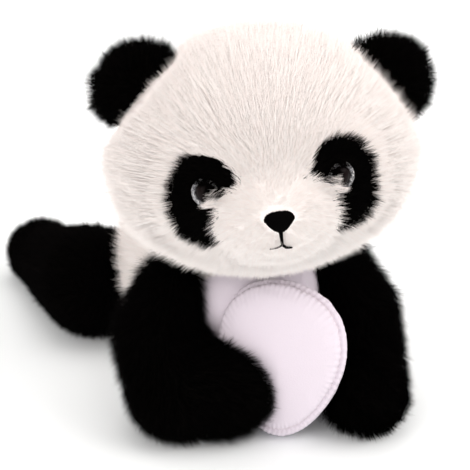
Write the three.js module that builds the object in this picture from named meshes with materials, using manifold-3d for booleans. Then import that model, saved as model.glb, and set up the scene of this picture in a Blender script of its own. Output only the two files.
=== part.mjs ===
// Plush panda lying on its belly, propped on its front paws, with a round stuffed pad between them.
// Millimetres, +Z up. The face looks towards -Y and the panda's own left side is +X.
// Each sewn cover is a shell with its filling as a separate solid inside it. The ball ends of the
// limbs turn in round sockets of the torso, where the real toy bends at its seams.
import * as THREE from "three";
import { mergeVertices } from "three/addons/utils/BufferGeometryUtils.js";
import Module from "manifold-3d";

const wasm = await Module();
wasm.setup();

// ---------------------------------------------------------------- driving dimensions

const WALL = 2.5; // fur fabric with the roots of its pile
const GAP = 0.4; // between pieces that touch
const SWING_GAP = 1; // between a ball end and its socket

const HEAD = { centre: [0, 0, 160], radii: [80, 69, 64], turn: -15, roll: 5, room: 4 };
// The face is drawn in the head's own frame, with the head's middle as its origin.
const MUZZLE = { centre: [0, -46, -11], radii: [35, 34, 29], panel: [34, 27] };
const EYE = { side: 34.5, height: 7.3, ring: 7.6, pupil: 5.2, rise: 3.9, stem: 1.6, length: 14 };
const WASHER = { radius: 6.5, depth: 8, thickness: 1.5 }; // locks the eye's stem inside the head
const PATCH = { side: 35.5, height: 1.5, radii: [18, 25.5], lean: 7 };
const EAR = { radius: 24.5, thickness: 16, back: 8, clear: 3, angle: { right: 34, left: 22.5 } };
const NOSE = { width: 15.6, height: 11, rise: 5.3, lift: 1.3 }; // rise is above the muzzle's middle
const MOUTH = { drop: 7, side: 6.5, fall: 2.4 };
const THREAD = 0.9; // radius of a bundle of embroidery thread

const NECK = { centre: [0, 20, 97], radius: 19 };
const TORSO = {
  points: [[0, 18, 66], [0, 62, 54], [0, 112, 43]],
  radii: [34, 42, 45.5],
  widen: 1.16,
};
const BELLY = { radii: [31, 52], middle: [0, 45, 55], slope: 40, depth: 90 };
// The pad is a flattened egg: its half width is a share of its radius, and it tapers downwards.
const PAD = {
  centre: [-1, -32, 47],
  radius: 46.7,
  width: 0.785,
  taper: 0.24,
  front: -9,
  back: 13,
  turn: -40,
  lean: 6,
  fabric: 1.6,
};

// Each limb is a tube from its pivot plus an egg-shaped paw. Lengths are from the pivot.
const SHOULDER = { side: 50, y: 14, z: 80, radius: 17 };
const HIP = { side: 63, y: 131, z: 31, radius: 32 };
const ARMS = {
  arm_right: {
    pivot: [-SHOULDER.side, SHOULDER.y, SHOULDER.z],
    points: [[0, 0, 0], [-10, -6, -25], [-3, -22, -52]],
    radii: [SHOULDER.radius, 23.5, 28],
    paw: { centre: [10, -30, -51.5], radii: [19, 36, 27.5], turn: 49 },
    opening: [1, 0, 0],
  },
  arm_left: {
    pivot: [SHOULDER.side, SHOULDER.y, SHOULDER.z],
    points: [[0, 0, 0], [8, -17, -30], [2, -38, -57]],
    radii: [SHOULDER.radius, 23, 24],
    paw: { centre: [-4, -51, -57], radii: [21, 27, 24.5], turn: 10 },
    opening: [-1, 0, 0],
  },
};

function leg(sign) {
  return {
    pivot: [sign * HIP.side, HIP.y, HIP.z],
    points: [[0, 0, 0], [sign * 9, 38, -7], [sign * 15, 70, -12]],
    radii: [HIP.radius, 24, 18],
    paw: { centre: [sign * 16, 80, -12.5], radii: [20, 20, 19.5], turn: 0 },
    opening: [-sign, 0, 0],
  };
}
const LEGS = { leg_right: leg(-1), leg_left: leg(1) };

// ---------------------------------------------------------------- solids

const v3 = (p) => new THREE.Vector3(...p);
const rad = THREE.MathUtils.degToRad;

// A closed geometry as a manifold solid.
function solid(geometry) {
  const bare = geometry.clone();
  bare.deleteAttribute("normal");
  bare.deleteAttribute("uv");
  const merged = mergeVertices(bare, 1e-4);
  return new wasm.Manifold(
    new wasm.Mesh({
      numProp: 3,
      vertProperties: merged.attributes.position.array,
      triVerts: new Uint32Array(merged.index.array),
    }),
  );
}

// A manifold solid as a geometry.
function geometryOf(made) {
  const mesh = made.getMesh();
  const geometry = new THREE.BufferGeometry();
  geometry.setAttribute("position", new THREE.BufferAttribute(mesh.vertProperties, 3));
  geometry.setIndex(new THREE.BufferAttribute(mesh.triVerts, 1));
  geometry.computeVertexNormals();
  return geometry;
}

function ellipsoid(centre, radii, around = 26, down = 14) {
  const geometry = new THREE.SphereGeometry(1, around, down);
  geometry.rotateX(Math.PI / 2);
  geometry.scale(...radii);
  geometry.translate(...centre);
  return solid(geometry);
}

const grown = (radii, by) => radii.map((r) => r + by);

function ball(centre, radius, around = 16, down = 10) {
  return ellipsoid(centre, [radius, radius, radius], around, down);
}

// Everything below a level above the surface that the panda lies on.
function below(level) {
  const size = 600; // larger than the whole toy
  const geometry = new THREE.BoxGeometry(size, size, size);
  geometry.translate(0, 0, level - size / 2);
  return solid(geometry);
}

// A cylinder from one point to another.
function rod(from, to, radius, sides = 16) {
  const along = v3(to).sub(v3(from));
  const geometry = new THREE.CylinderGeometry(radius, radius, along.length(), sides);
  geometry.translate(0, along.length() / 2, 0);
  const turn = new THREE.Quaternion().setFromUnitVectors(
    new THREE.Vector3(0, 1, 0),
    along.normalize(),
  );
  geometry.applyQuaternion(turn);
  geometry.translate(...from);
  return solid(geometry);
}

// A round closed body along a smooth line, with a half ball at each end.
function sock(points, radii, { sides = 14, steps = 5, cap = 3, widen = 1 } = {}) {
  const curve = new THREE.CatmullRomCurve3(points.map(v3));
  const frames = curve.computeFrenetFrames(steps, false);
  const radiusAt = (t) => {
    const place = t * (radii.length - 1);
    const i = Math.min(Math.floor(place), radii.length - 2);
    return THREE.MathUtils.lerp(radii[i], radii[i + 1], place - i);
  };
  const rings = [];
  for (let k = cap; k > 0; k--) rings.push({ i: 0, back: Math.sin((k / cap) * (Math.PI / 2)) });
  for (let i = 0; i <= steps; i++) rings.push({ i, back: 0 });
  for (let k = 1; k <= cap; k++) rings.push({ i: steps, back: -Math.sin((k / cap) * (Math.PI / 2)) });
  const position = [];
  for (const { i, back } of rings) {
    const radius = radiusAt(i / steps);
    const centre = curve.getPoint(i / steps).addScaledVector(frames.tangents[i], -back * radius);
    const around = radius * Math.sqrt(Math.max(0, 1 - back * back));
    if (Math.abs(back) === 1) {
      position.push(centre.x, centre.y, centre.z);
      continue;
    }
    for (let s = 0; s < sides; s++) {
      const angle = (s / sides) * 2 * Math.PI;
      const p = centre
        .clone()
        .addScaledVector(frames.normals[i], around * Math.cos(angle))
        .addScaledVector(frames.binormals[i], around * Math.sin(angle));
      position.push(p.x * widen, p.y, p.z);
    }
  }
  const index = [];
  const first = (ring) => 1 + (ring - 1) * sides;
  const last = position.length / 3 - 1;
  for (let s = 0; s < sides; s++) {
    const next = (s + 1) % sides;
    index.push(0, first(1) + next, first(1) + s);
    for (let ring = 1; ring < rings.length - 2; ring++) {
      const [a, b] = [first(ring), first(ring + 1)];
      index.push(a + s, a + next, b + next, a + s, b + next, b + s);
    }
    index.push(first(rings.length - 2) + s, first(rings.length - 2) + next, last);
  }
  const geometry = new THREE.BufferGeometry();
  geometry.setAttribute("position", new THREE.Float32BufferAttribute(position, 3));
  geometry.setIndex(index);
  return solid(geometry);
}

// A flat outline, drawn as seen from the front (x to the panda's left, y up), made into a prism along Y.
function prism(outline, yFrom, yTo, pieces = 20) {
  const geometry = new THREE.ExtrudeGeometry(outline, {
    depth: yTo - yFrom,
    bevelEnabled: false,
    curveSegments: pieces,
  });
  geometry.rotateX(Math.PI / 2);
  geometry.translate(0, yTo, 0);
  return solid(geometry);
}

function oval(centre, radii, lean = 0) {
  return new THREE.Shape().absellipse(...centre, ...radii, 0, 2 * Math.PI, false, rad(lean));
}

// ---------------------------------------------------------------- materials

function cloth(colour, roughness) {
  return new THREE.MeshStandardMaterial({ color: colour, roughness, metalness: 0 });
}

const whiteFur = cloth(0xefe6e1, 0.95);
const blackFur = cloth(0x0b0a0a, 0.95);
const smoothPlush = cloth(0xe2dbe4, 0.9);
const filling = cloth(0xf6f6f4, 1);
const blackThread = cloth(0x0a0a0c, 0.6);
const glitter = new THREE.MeshStandardMaterial({ color: 0xb9b7b8, roughness: 0.3, metalness: 0.9 });
const eyePlastic = new THREE.MeshStandardMaterial({ color: 0x14100f, roughness: 0.12, metalness: 0 });
const washerPlastic = new THREE.MeshStandardMaterial({ color: 0xd9d9d2, roughness: 0.5, metalness: 0 });

function piece(name, made, material) {
  const mesh = new THREE.Mesh(made.isBufferGeometry ? made : geometryOf(made), material);
  mesh.name = name;
  return mesh;
}

// ---------------------------------------------------------------- head

// The front of an ellipsoid above the point (x, z) of the face.
function onFront({ centre, radii }, x, z, lift = 0) {
  const [a, b, c] = grown(radii, lift);
  const depth = Math.sqrt(1 - ((x - centre[0]) / a) ** 2 - ((z - centre[2]) / c) ** 2);
  return [x, centre[1] - b * depth, z];
}

// A body turned about Y from a profile of [radius, height]. One that doesn't start on the axis is
// closed by repeating its first point.
function turned(profile, segments = 20) {
  const closed = profile[0][0] > 0 ? [...profile, profile[0]] : profile;
  return new THREE.LatheGeometry(closed.map((p) => new THREE.Vector2(...p)), segments);
}

// A safety eye: a domed pupil on a stem, a ring round it, and the washer that locks the stem.
// Height 0 is on the fur fabric.
function eyeProfiles() {
  const { ring, pupil, rise, stem, length } = EYE;
  const hole = stem + 0.3;
  const seat = 0.5; // the eye sits this far above the fabric
  const washerTop = -WASHER.depth;
  const washerFoot = washerTop - WASHER.thickness;
  return {
    dome: [
      [0, -length],
      [stem, -length],
      [stem, seat + 0.1],
      [pupil - 0.3, seat + 0.1],
      [pupil - 0.3, rise * 0.3],
      [pupil * 0.8, rise * 0.7],
      [pupil * 0.4, rise * 0.92],
      [0, rise],
    ],
    ring: [
      [pupil, seat],
      [ring - 0.5, seat],
      [ring, seat + 0.6],
      [ring - 0.6, seat + 1.6],
      [pupil + 0.7, seat + 1.8],
      [pupil, seat + 1.3],
    ],
    washer: [
      [hole, washerFoot],
      [WASHER.radius, washerFoot],
      [WASHER.radius, washerTop],
      [hole, washerTop],
    ],
  };
}

// The room that the eye needs: over the fabric, through it, and in the filling behind it.
function eyeRooms() {
  const hole = EYE.stem + 0.3;
  const foot = -EYE.length - 1;
  const washerFoot = -WASHER.depth - WASHER.thickness;
  return {
    above: [
      [0, 0.1],
      [EYE.ring + 0.5, 0.1],
      [EYE.ring + 0.5, EYE.length],
      [0, EYE.length],
    ],
    shaft: [
      [0, foot],
      [hole, foot],
      [hole, 2],
      [0, 2],
    ],
    pocket: [
      [0, foot],
      [hole, foot],
      [hole, washerFoot - 0.7],
      [WASHER.radius + 0.7, washerFoot - 0.7],
      [WASHER.radius + 0.7, -WASHER.depth / 2],
      [0, -WASHER.depth / 2],
    ],
  };
}

// Places the eye's own frame, with +Y out of the fur, on one side of the face.
function eyePlace(sign) {
  const head = { centre: [0, 0, 0], radii: HEAD.radii };
  const point = v3(onFront(head, sign * EYE.side, EYE.height));
  const outward = new THREE.Vector3(...HEAD.radii.map((r, i) => point.getComponent(i) / r ** 2));
  const turn = new THREE.Quaternion().setFromUnitVectors(
    new THREE.Vector3(0, 1, 0),
    outward.normalize(),
  );
  return new THREE.Matrix4().compose(point, turn, new THREE.Vector3(1, 1, 1));
}

function eyeRoom(name, sign) {
  return solid(turned(eyeRooms()[name], 16).applyMatrix4(eyePlace(sign)));
}

function eye(name, sign) {
  const profiles = eyeProfiles();
  const group = new THREE.Group();
  group.add(
    piece(`eye_dome_${name}`, turned(profiles.dome), eyePlastic),
    piece(`eye_ring_${name}`, turned(profiles.ring), glitter),
    piece(`eye_washer_${name}`, turned(profiles.washer), washerPlastic),
  );
  eyePlace(sign).decompose(group.position, group.quaternion, group.scale);
  return group;
}

const SIDES = [
  ["right", -1],
  ["left", 1],
];

// The outside of the head, moved out by a distance, or in by a negative one.
function headOuter(by = 0) {
  const [around, down] = by < 0 ? [18, 10] : [28, 16];
  return ellipsoid([0, 0, 0], grown(HEAD.radii, by), around, down);
}

function headInner(by) {
  const muzzle = ellipsoid(MUZZLE.centre, grown(MUZZLE.radii, -WALL - by), 16, 10);
  return headOuter(-WALL - by).add(muzzle);
}

function noseOutline() {
  const { width: w, height: h } = NOSE;
  const shape = new THREE.Shape();
  shape.moveTo(-w / 2, h * 0.2);
  shape.bezierCurveTo(-w / 2, h * 0.45, -w / 4, h / 2, 0, h / 2);
  shape.bezierCurveTo(w / 4, h / 2, w / 2, h * 0.45, w / 2, h * 0.2);
  shape.bezierCurveTo(w / 2, -h * 0.15, w / 6, -h * 0.35, 0, -h / 2);
  shape.bezierCurveTo(-w / 6, -h * 0.35, -w / 2, -h * 0.15, -w / 2, h * 0.2);
  return shape;
}

// The embroidered nose, as a raised patch of the muzzle.
function noseSolid() {
  const middle = MUZZLE.centre[2] + NOSE.rise;
  const outer = ellipsoid(MUZZLE.centre, grown(MUZZLE.radii, NOSE.lift + GAP), 28, 16);
  const inner = ellipsoid(MUZZLE.centre, grown(MUZZLE.radii, GAP), 28, 16);
  return facePrism(noseOutline(), 6).translate([0, 0, middle]).intersect(outer).subtract(inner);
}

// A bundle of thread lying on the muzzle through the given (x, z) points.
function strand(places) {
  const path = new THREE.CatmullRomCurve3(
    places.map(([x, z]) => v3(onFront(MUZZLE, x, z, THREAD + GAP))),
  );
  const section = new THREE.Shape().absarc(0, 0, THREAD, 0, 2 * Math.PI);
  return solid(
    new THREE.ExtrudeGeometry(section, { steps: 8, extrudePath: path, curveSegments: 4 }),
  );
}

// A stem below the nose that forks into a smile.
function mouthSolid() {
  const top = MUZZLE.centre[2] + NOSE.rise - NOSE.height / 2 - THREAD - GAP;
  const fork = [0.5, top - MOUTH.drop];
  const corner = (sign) => [
    fork,
    [sign * MOUTH.side * 0.5, fork[1] - MOUTH.fall * 0.8],
    [sign * MOUTH.side, fork[1] - MOUTH.fall],
  ];
  return strand([[0, top], [0.3, top - MOUTH.drop / 2], fork])
    .add(strand(corner(1)))
    .add(strand(corner(-1)));
}

// A prism through the whole face, in front of the head's widest section.
function facePrism(outline, pieces) {
  return prism(outline, -110, -20, pieces);
}

function muzzlePrism(by) {
  const [x, , z] = MUZZLE.centre;
  return facePrism(oval([x, z], grown(MUZZLE.panel, by)), 28);
}

function patchPrism(sign, by) {
  const middle = [sign * PATCH.side, PATCH.height];
  return facePrism(oval(middle, grown(PATCH.radii, by), sign * PATCH.lean), 20);
}

// An ear is a disc sewn from a front and a back. It stands on the head's widest section.
function ear(name, sign) {
  const angle = rad(EAR.angle[name]);
  const [a, , c] = HEAD.radii;
  const edge = 1 / Math.hypot(Math.cos(angle) / a, Math.sin(angle) / c);
  const centre = [sign * Math.cos(angle) * edge, EAR.back, Math.sin(angle) * edge];
  const radii = [EAR.radius, EAR.thickness / 2, EAR.radius];
  const disc = ellipsoid(centre, radii, 20, 10).subtract(headOuter(EAR.clear));
  const size = 4 * EAR.radius;
  const half = (side) => {
    const box = new THREE.BoxGeometry(3 * size, size, 3 * size);
    return solid(box.translate(0, EAR.back + (side * (size - GAP)) / 2, 0));
  };
  const group = new THREE.Group();
  group.add(
    piece(`ear_front_${name}`, disc.subtract(half(1)), blackFur),
    piece(`ear_back_${name}`, disc.subtract(half(-1)), blackFur),
  );
  return group;
}

function head() {
  const neckRoom = ball(neckInHead(), NECK.radius + SWING_GAP);
  const shell = headOuter()
    .add(ellipsoid(MUZZLE.centre, MUZZLE.radii, 24, 14))
    .subtract(headInner(0))
    .subtract(neckRoom);
  let stuffing = headInner(GAP).subtract(neckRoom);
  let cover = shell.subtract(muzzlePrism(GAP));
  let panel = shell.intersect(muzzlePrism(0));
  const group = new THREE.Group();
  for (const [name, sign] of SIDES) {
    const clear = eyeRoom("above", sign).add(eyeRoom("shaft", sign));
    const patch = shell.intersect(patchPrism(sign, 0)).subtract(muzzlePrism(GAP)).subtract(clear);
    cover = cover.subtract(patchPrism(sign, GAP)).subtract(clear);
    panel = panel.subtract(clear);
    stuffing = stuffing.subtract(eyeRoom("pocket", sign)).subtract(eyeRoom("shaft", sign));
    group.add(piece(`eye_patch_${name}`, patch, blackFur), eye(name, sign), ear(name, sign));
  }
  group.add(
    piece("head_cover", cover, whiteFur),
    piece("muzzle_panel", panel, whiteFur),
    piece("head_stuffing", stuffing, filling),
    piece("nose_embroidery", noseSolid(), blackThread),
    piece("mouth_stitching", mouthSolid(), blackThread),
  );
  return group;
}

const headPlace = new THREE.Matrix4().compose(
  v3(HEAD.centre),
  new THREE.Quaternion()
    .setFromEuler(new THREE.Euler(0, 0, rad(HEAD.turn)))
    .multiply(new THREE.Quaternion().setFromEuler(new THREE.Euler(0, -rad(HEAD.roll), 0))),
  new THREE.Vector3(1, 1, 1),
);

// The neck's middle, in the head's own frame.
function neckInHead() {
  return v3(NECK.centre).applyMatrix4(headPlace.clone().invert()).toArray();
}

// ---------------------------------------------------------------- limbs

// An egg-shaped paw: its radii are across, along and up, and it is turned about Z.
function pawSolid({ centre, radii, turn }, by) {
  const geometry = new THREE.SphereGeometry(1, 14, 8);
  geometry.rotateX(Math.PI / 2);
  geometry.scale(...grown(radii, by));
  geometry.rotateZ(rad(turn));
  geometry.translate(...centre);
  return solid(geometry);
}

// A limb's outside, grown by a distance, in the panda's own frame and cut level with the floor.
function limbOutside({ pivot, points, radii, paw }, by) {
  return sock(points, grown(radii, by))
    .add(pawSolid(paw, by))
    .translate(pivot)
    .subtract(below(Math.max(0, -by)));
}

// A stuffed limb: a cover that is open where it is sewn on, and its filling.
function limb(name, spec) {
  const { pivot, radii, opening } = spec;
  const end = v3(pivot).addScaledVector(v3(opening), radii[0] * 1.5);
  const hole = rod(pivot, end.toArray(), radii[0] * 0.45);
  const cover = limbOutside(spec, 0).subtract(limbOutside(spec, -WALL)).subtract(hole);
  const stuffing = limbOutside(spec, -WALL - GAP);
  const group = new THREE.Group();
  group.add(
    piece(`${name}_cover`, cover, blackFur),
    piece(`${name}_stuffing`, stuffing, filling),
  );
  return group;
}

function limbs() {
  const group = new THREE.Group();
  for (const [name, spec] of Object.entries({ ...ARMS, ...LEGS })) {
    group.add(limb(name, spec));
  }
  return group;
}

// ---------------------------------------------------------------- torso

function torsoBody(by) {
  const fineness = { sides: 20, steps: 5, cap: 4, widen: TORSO.widen };
  return sock(TORSO.points, grown(TORSO.radii, by), fineness);
}

// The space that the head, the neck and the limbs need in the torso.
function torsoRoom() {
  const headRoom = solid(
    new THREE.SphereGeometry(1, 24, 14)
      .rotateX(Math.PI / 2)
      .scale(...grown(HEAD.radii, HEAD.room))
      .applyMatrix4(headPlace),
  );
  let room = ball(NECK.centre, NECK.radius + SWING_GAP).add(headRoom);
  for (const spec of [...Object.values(ARMS), ...Object.values(LEGS)]) {
    const socket = ball(spec.pivot, spec.radii[0] + SWING_GAP);
    room = room.add(socket).add(limbOutside(spec, SWING_GAP));
  }
  return room;
}

// The belly panel's outline, pushed square to the chest's slope and through the chest's wall only.
function bellyPrism(by) {
  const made = new THREE.ExtrudeGeometry(oval([0, 0], grown(BELLY.radii, by)), {
    depth: BELLY.depth,
    bevelEnabled: false,
    curveSegments: 24,
  });
  made.rotateX(Math.PI / 2 + rad(BELLY.slope));
  made.translate(...BELLY.middle);
  return solid(made);
}

function torso() {
  const room = torsoRoom();
  const cut = (by) => torsoBody(by).subtract(below(-by));
  const shell = cut(0).subtract(cut(-WALL)).subtract(room);
  const group = new THREE.Group();
  group.add(
    piece("torso_cover", shell.subtract(bellyPrism(GAP)), whiteFur),
    piece("belly_panel", shell.intersect(bellyPrism(0)), smoothPlush),
    piece("torso_stuffing", cut(-WALL - GAP).subtract(room), filling),
  );
  return group;
}

// ---------------------------------------------------------------- pad

// The pad's pieces as [radius, depth]: a dished front panel and a round back shell that meet at the
// seam, and the filling between them. Depth 0 is at the pad's widest.
function padProfiles() {
  const { radius: r, front, back, fabric } = PAD;
  const seam = 0.93 * r;
  const edge = front + 1;
  const fill = r - fabric - 1 - 2 * GAP;
  const fillBack = back - fabric - 1 - 2 * GAP;
  return {
    panel: [
      [0, front - 2.5],
      [seam * 0.6, front - 2.3],
      [seam * 0.9, front - 0.8],
      [seam, edge],
      [seam - fabric, edge + 0.5],
      [seam * 0.6, front - 0.7],
      [0, front - 0.9],
    ],
    shell: [
      [seam, edge + GAP],
      [r, 0],
      [r * 0.93, 6],
      [r * 0.7, back - 2.5],
      [r * 0.35, back - 0.4],
      [0, back],
      [0, back - fabric],
      [r * 0.35, back - 0.4 - fabric],
      [r * 0.68, back - 2.5 - fabric],
      [r * 0.93 - fabric, 5],
      [r - fabric, 0],
      [seam - fabric, edge + 1 + GAP],
    ],
    stuffing: [
      [0, front + 0.2],
      [seam * 0.55, front + 0.6],
      [seam * 0.86, front + 2.8],
      [fill, 0],
      [fill - r * 0.09, 4.2],
      [r * 0.65, back - 5],
      [r * 0.33, back - 3.2],
      [0, fillBack],
    ],
  };
}

// A turned body made egg-shaped, seen along the pad's axis.
function eggTurned(profile) {
  const geometry = turned(profile, 32);
  const place = geometry.getAttribute("position");
  for (let i = 0; i < place.count; i++) {
    const taper = 1 + (PAD.taper * place.getZ(i)) / PAD.radius;
    place.setX(i, place.getX(i) * PAD.width * taper);
  }
  return solid(geometry);
}

// The soft pad gives way to the chest and to the paws that hold it.
function padDents() {
  let dents = torsoBody(GAP);
  for (const spec of Object.values(ARMS)) {
    dents = dents.add(limbOutside(spec, GAP));
  }
  return dents.add(below(0));
}

function pad() {
  const place = new THREE.Matrix4().compose(
    v3(PAD.centre),
    new THREE.Quaternion().setFromEuler(new THREE.Euler(-rad(PAD.lean), 0, rad(PAD.turn), "ZYX")),
    new THREE.Vector3(1, 1, 1),
  );
  const dents = padDents();
  const { panel, shell, stuffing } = padProfiles();
  const placed = (profile) => eggTurned(profile).transform(place.elements).subtract(dents);
  const group = new THREE.Group();
  group.add(
    piece("pad_front_panel", placed(panel), smoothPlush),
    piece("pad_back_shell", placed(shell), smoothPlush),
    piece("pad_stuffing", placed(stuffing), filling),
  );
  return group;
}

// ---------------------------------------------------------------- assembly

const panda = new THREE.Group();
const headGroup = head();
headPlace.decompose(headGroup.position, headGroup.quaternion, headGroup.scale);
panda.add(headGroup, torso(), limbs(), pad());
panda.add(piece("neck_core", ball(NECK.centre, NECK.radius), whiteFur));

// The origin is the middle of the footprint, on the surface that the panda lies on.
const bounds = new THREE.Box3().setFromObject(panda, true);
const middle = bounds.getCenter(new THREE.Vector3());
panda.position.set(-middle.x, -middle.y, -bounds.min.z);

export default panda;
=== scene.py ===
"""A long-pile plush panda, propped on its front paws, with a round stuffed pad between them.

Lengths are millimetres until a mesh is made. The drawing's own origin is on the floor below
the middle of the head; SHIFT moves it to the frame's origin.
"""

import math

import bpy
import numpy as np
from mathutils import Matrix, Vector, kdtree
from mathutils.bvhtree import BVHTree


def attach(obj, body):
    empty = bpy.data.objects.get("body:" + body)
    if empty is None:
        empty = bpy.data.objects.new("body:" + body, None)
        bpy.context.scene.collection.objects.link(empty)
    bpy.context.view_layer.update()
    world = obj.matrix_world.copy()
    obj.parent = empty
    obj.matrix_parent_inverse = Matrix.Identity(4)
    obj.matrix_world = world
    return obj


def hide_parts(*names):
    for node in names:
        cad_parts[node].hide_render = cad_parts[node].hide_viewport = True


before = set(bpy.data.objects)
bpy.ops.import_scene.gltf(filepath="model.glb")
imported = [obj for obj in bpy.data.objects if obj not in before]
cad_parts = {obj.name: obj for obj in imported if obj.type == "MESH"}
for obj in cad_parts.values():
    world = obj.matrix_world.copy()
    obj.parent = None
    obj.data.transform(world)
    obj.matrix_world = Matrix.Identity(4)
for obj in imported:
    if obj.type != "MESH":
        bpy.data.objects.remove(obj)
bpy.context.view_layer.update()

MM = 0.001
SHIFT = np.array([0.0, -75.432, 0.0])
SIDES = {"right": -1, "left": 1}

# ---------------------------------------------------------------- driving dimensions

HEAD_CENTRE = np.array([0.0, 0.0, 160.0])
HEAD_RADII = np.array([80.0, 69.0, 64.0])
HEAD_TURN, HEAD_ROLL = -15, 5  # degrees
MUZZLE_CENTRE = np.array([0.0, -46.0, -11.0])  # in the head's own frame, as all the face is
MUZZLE_RADII = np.array([35.0, 34.0, 29.0])
EYE_SIDE, EYE_HEIGHT = 34.5, 7.3
EYE_RING, EYE_PUPIL = 7.6, 5.6  # outer radii of the glitter ring and of the dark dome
RING_MIDDLE, RING_HALF = (EYE_RING + EYE_PUPIL) / 2, (EYE_RING - EYE_PUPIL) / 2
RING_HEIGHT, RING_RISE = 1.4, 1.1  # of the ring's middle over the face, and of its crest over that
DOME_FOOT, DOME_RISE = 0.9, 3.1
STEM_RADIUS, STEM_END, STEM_TOP = 1.6, -13, 0.4
FLAKES, FLAKE_SIZES, FLAKE_THICK = 420, (0.16, 0.36), 0.12
FLAKE_RISE, FLAKE_TILT, FLAKE_EDGE = 1.15, 0.4, 0.1
PATCH = {"side": 34, "height": 1, "across": 17, "up": 23.5, "lean": -7, "square": 2.4}
PATCH_MARGIN = 1  # how far the black skin reaches past the patch's black fur
MUZZLE_OVAL = (31, 26)  # half width and half height of the short white fur round the nose
FUR_PARTING = np.array([0.0, -74.0, -4.0])  # the face's fur streams away from the nose
EARS = {"right": 34, "left": 22.5}  # degrees above the head's widest line
EAR_RADIUS, EAR_THICKNESS, EAR_BACK = 24.5, 16, 8
NOSE_WIDTH, NOSE_HEIGHT = 15.6, 11
NOSE_RISE = 5.3  # of its middle above the muzzle's middle
NOSE_FRONT = -60  # the nose lies on the front of the muzzle, further forward than this
NOSE_STITCHES, NOSE_LIFT, NOSE_PUFF = 31, 0.9, 3.4
THREAD_RADIUS = 0.42
SMILE = {"low": -21.4, "bend": 0.024, "start": 6, "end": 19, "half": 1.1}

COLLAR_CENTRE, COLLAR_RADII = [0, 24, 97], [33, 30, 26]
TORSO_LINE = [[0, 18, 66], [0, 62, 54], [0, 112, 43]]
TORSO_RADII = [34, 42, 45.5]
TORSO_WIDEN = 1.16
BELLY_LINE, BELLY_RADII = [[0, 15.5, 67], [0, 40, 59]], [35.2, 40]
BELLY_HALF = (36, 46)  # half the smooth panel's width and length
BELLY_MIDDLE = 2  # behind the middle of the head
BELLY_TOP, BELLY_SLOPE = 84, 0.5  # the panel's upper edge, and how it falls towards the rear
BELLY_FOLD = {"side": 21, "width": 2.2, "height": 1.6, "from": 50, "to": 70, "rear": 5}

PAD_CENTRE = np.array([-1.0, -32.0, 47.0])
PAD_RADIUS, PAD_WIDTH, PAD_TAPER = 46.7, 0.785, 0.24
PAD_TURN, PAD_LEAN = -40, -6
SEAM_DEPTH, SEAM_TILT = -3.5, 3.0  # behind the pad's widest plane, and how much further back on top
SEAM_PRESS, SEAM_RIDGE, SEAM_RIPPLE = 1.5, 0.5, 0.4  # how deep or high each is
PRESS_WIDTH, RIDGE_WIDTH, RIPPLE_WIDTH, RIDGE_AWAY = 0.9, 1.4, 4.0, 2.6
PUCKERS, BEATS = 74, 47  # round the pad: the fabric's puckers, and waves that make them uneven
RIM_FROM, RIM_TO = PAD_RADIUS * 0.7, PAD_RADIUS * 0.86  # where the relief of the seam takes over
SEAM_POINTS, SEAM_STITCHES = 900, 150
SEAM_THIN, SEAM_SWELL, SEAM_SINK = 0.30, 0.20, 0.25
FLOOR_GAP, PAD_FLOOR_GAP = 0.4, 0.3  # left under the soft pieces that lie on the floor

LIMBS = {
    "arm_right": {
        "pivot": [-50, 14, 80],
        "line": [[0, 0, 0], [-10, -6, -25], [-3, -22, -52]],
        "radii": [17, 23.5, 28],
        "paw": {"centre": [10, -30, -51.5], "radii": [19, 36, 27.5], "turn": 49},
        "fur": 10.0,
    },
    "arm_left": {
        "pivot": [50, 14, 80],
        "line": [[0, 0, 0], [8, -17, -30], [2, -38, -57]],
        "radii": [17, 23, 24],
        "paw": {"centre": [-4, -51, -57], "radii": [21, 27, 24.5], "turn": 10},
        "fur": 10.0,
    },
}
for _side, _sign in SIDES.items():
    LIMBS[f"leg_{_side}"] = {
        "pivot": [_sign * 63, 131, 31],
        "line": [[0, 0, 0], [_sign * 9, 38, -7], [_sign * 15, 70, -12]],
        "radii": [32, 24, 18],
        "paw": {"centre": [_sign * 16, 80, -12.5], "radii": [20, 20, 19.5], "turn": 0},
        "fur": 8.0,
    }

# ---------------------------------------------------------------- small mathematics


def about_z(degrees):
    c, s = math.cos(math.radians(degrees)), math.sin(math.radians(degrees))
    return np.array([[c, -s, 0], [s, c, 0], [0, 0, 1]])


def about_y(degrees):
    c, s = math.cos(math.radians(degrees)), math.sin(math.radians(degrees))
    return np.array([[c, 0, s], [0, 1, 0], [-s, 0, c]])


def about_x(degrees):
    c, s = math.cos(math.radians(degrees)), math.sin(math.radians(degrees))
    return np.array([[1, 0, 0], [0, c, -s], [0, s, c]])


HEAD_AXES = about_z(HEAD_TURN) @ about_y(-HEAD_ROLL)


def from_head(points):
    """Points of the head's own frame, in the drawing's frame."""
    return np.asarray(points, float) @ HEAD_AXES.T + HEAD_CENTRE


def to_head(points):
    return (np.asarray(points, float) - HEAD_CENTRE) @ HEAD_AXES


def unit(vectors):
    vectors = np.asarray(vectors, float)
    return vectors / np.maximum(np.linalg.norm(vectors, axis=-1, keepdims=True), 1e-9)


def smooth_step(value, low, high):
    t = np.clip((value - low) / (high - low), 0, 1)
    return t * t * (3 - 2 * t)


def between(low, high, share):
    return low + (high - low) * share


def swell(distance, width):
    """1 in the middle, falling away on both sides."""
    return np.exp(-((distance / width) ** 2))


NEAR_FLOOR, FACING_DOWN = 1.0, -0.9


def off_floor(roots, normals):
    """Leaves out the soles, where a soft piece lies flat on the floor."""
    return (roots[:, 2] > NEAR_FLOOR) | (normals[:, 2] > FACING_DOWN)


WAVES = 7
WAVE_SUM = 2.6  # about what that many random waves add up to, so that a bump is about one high


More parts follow.
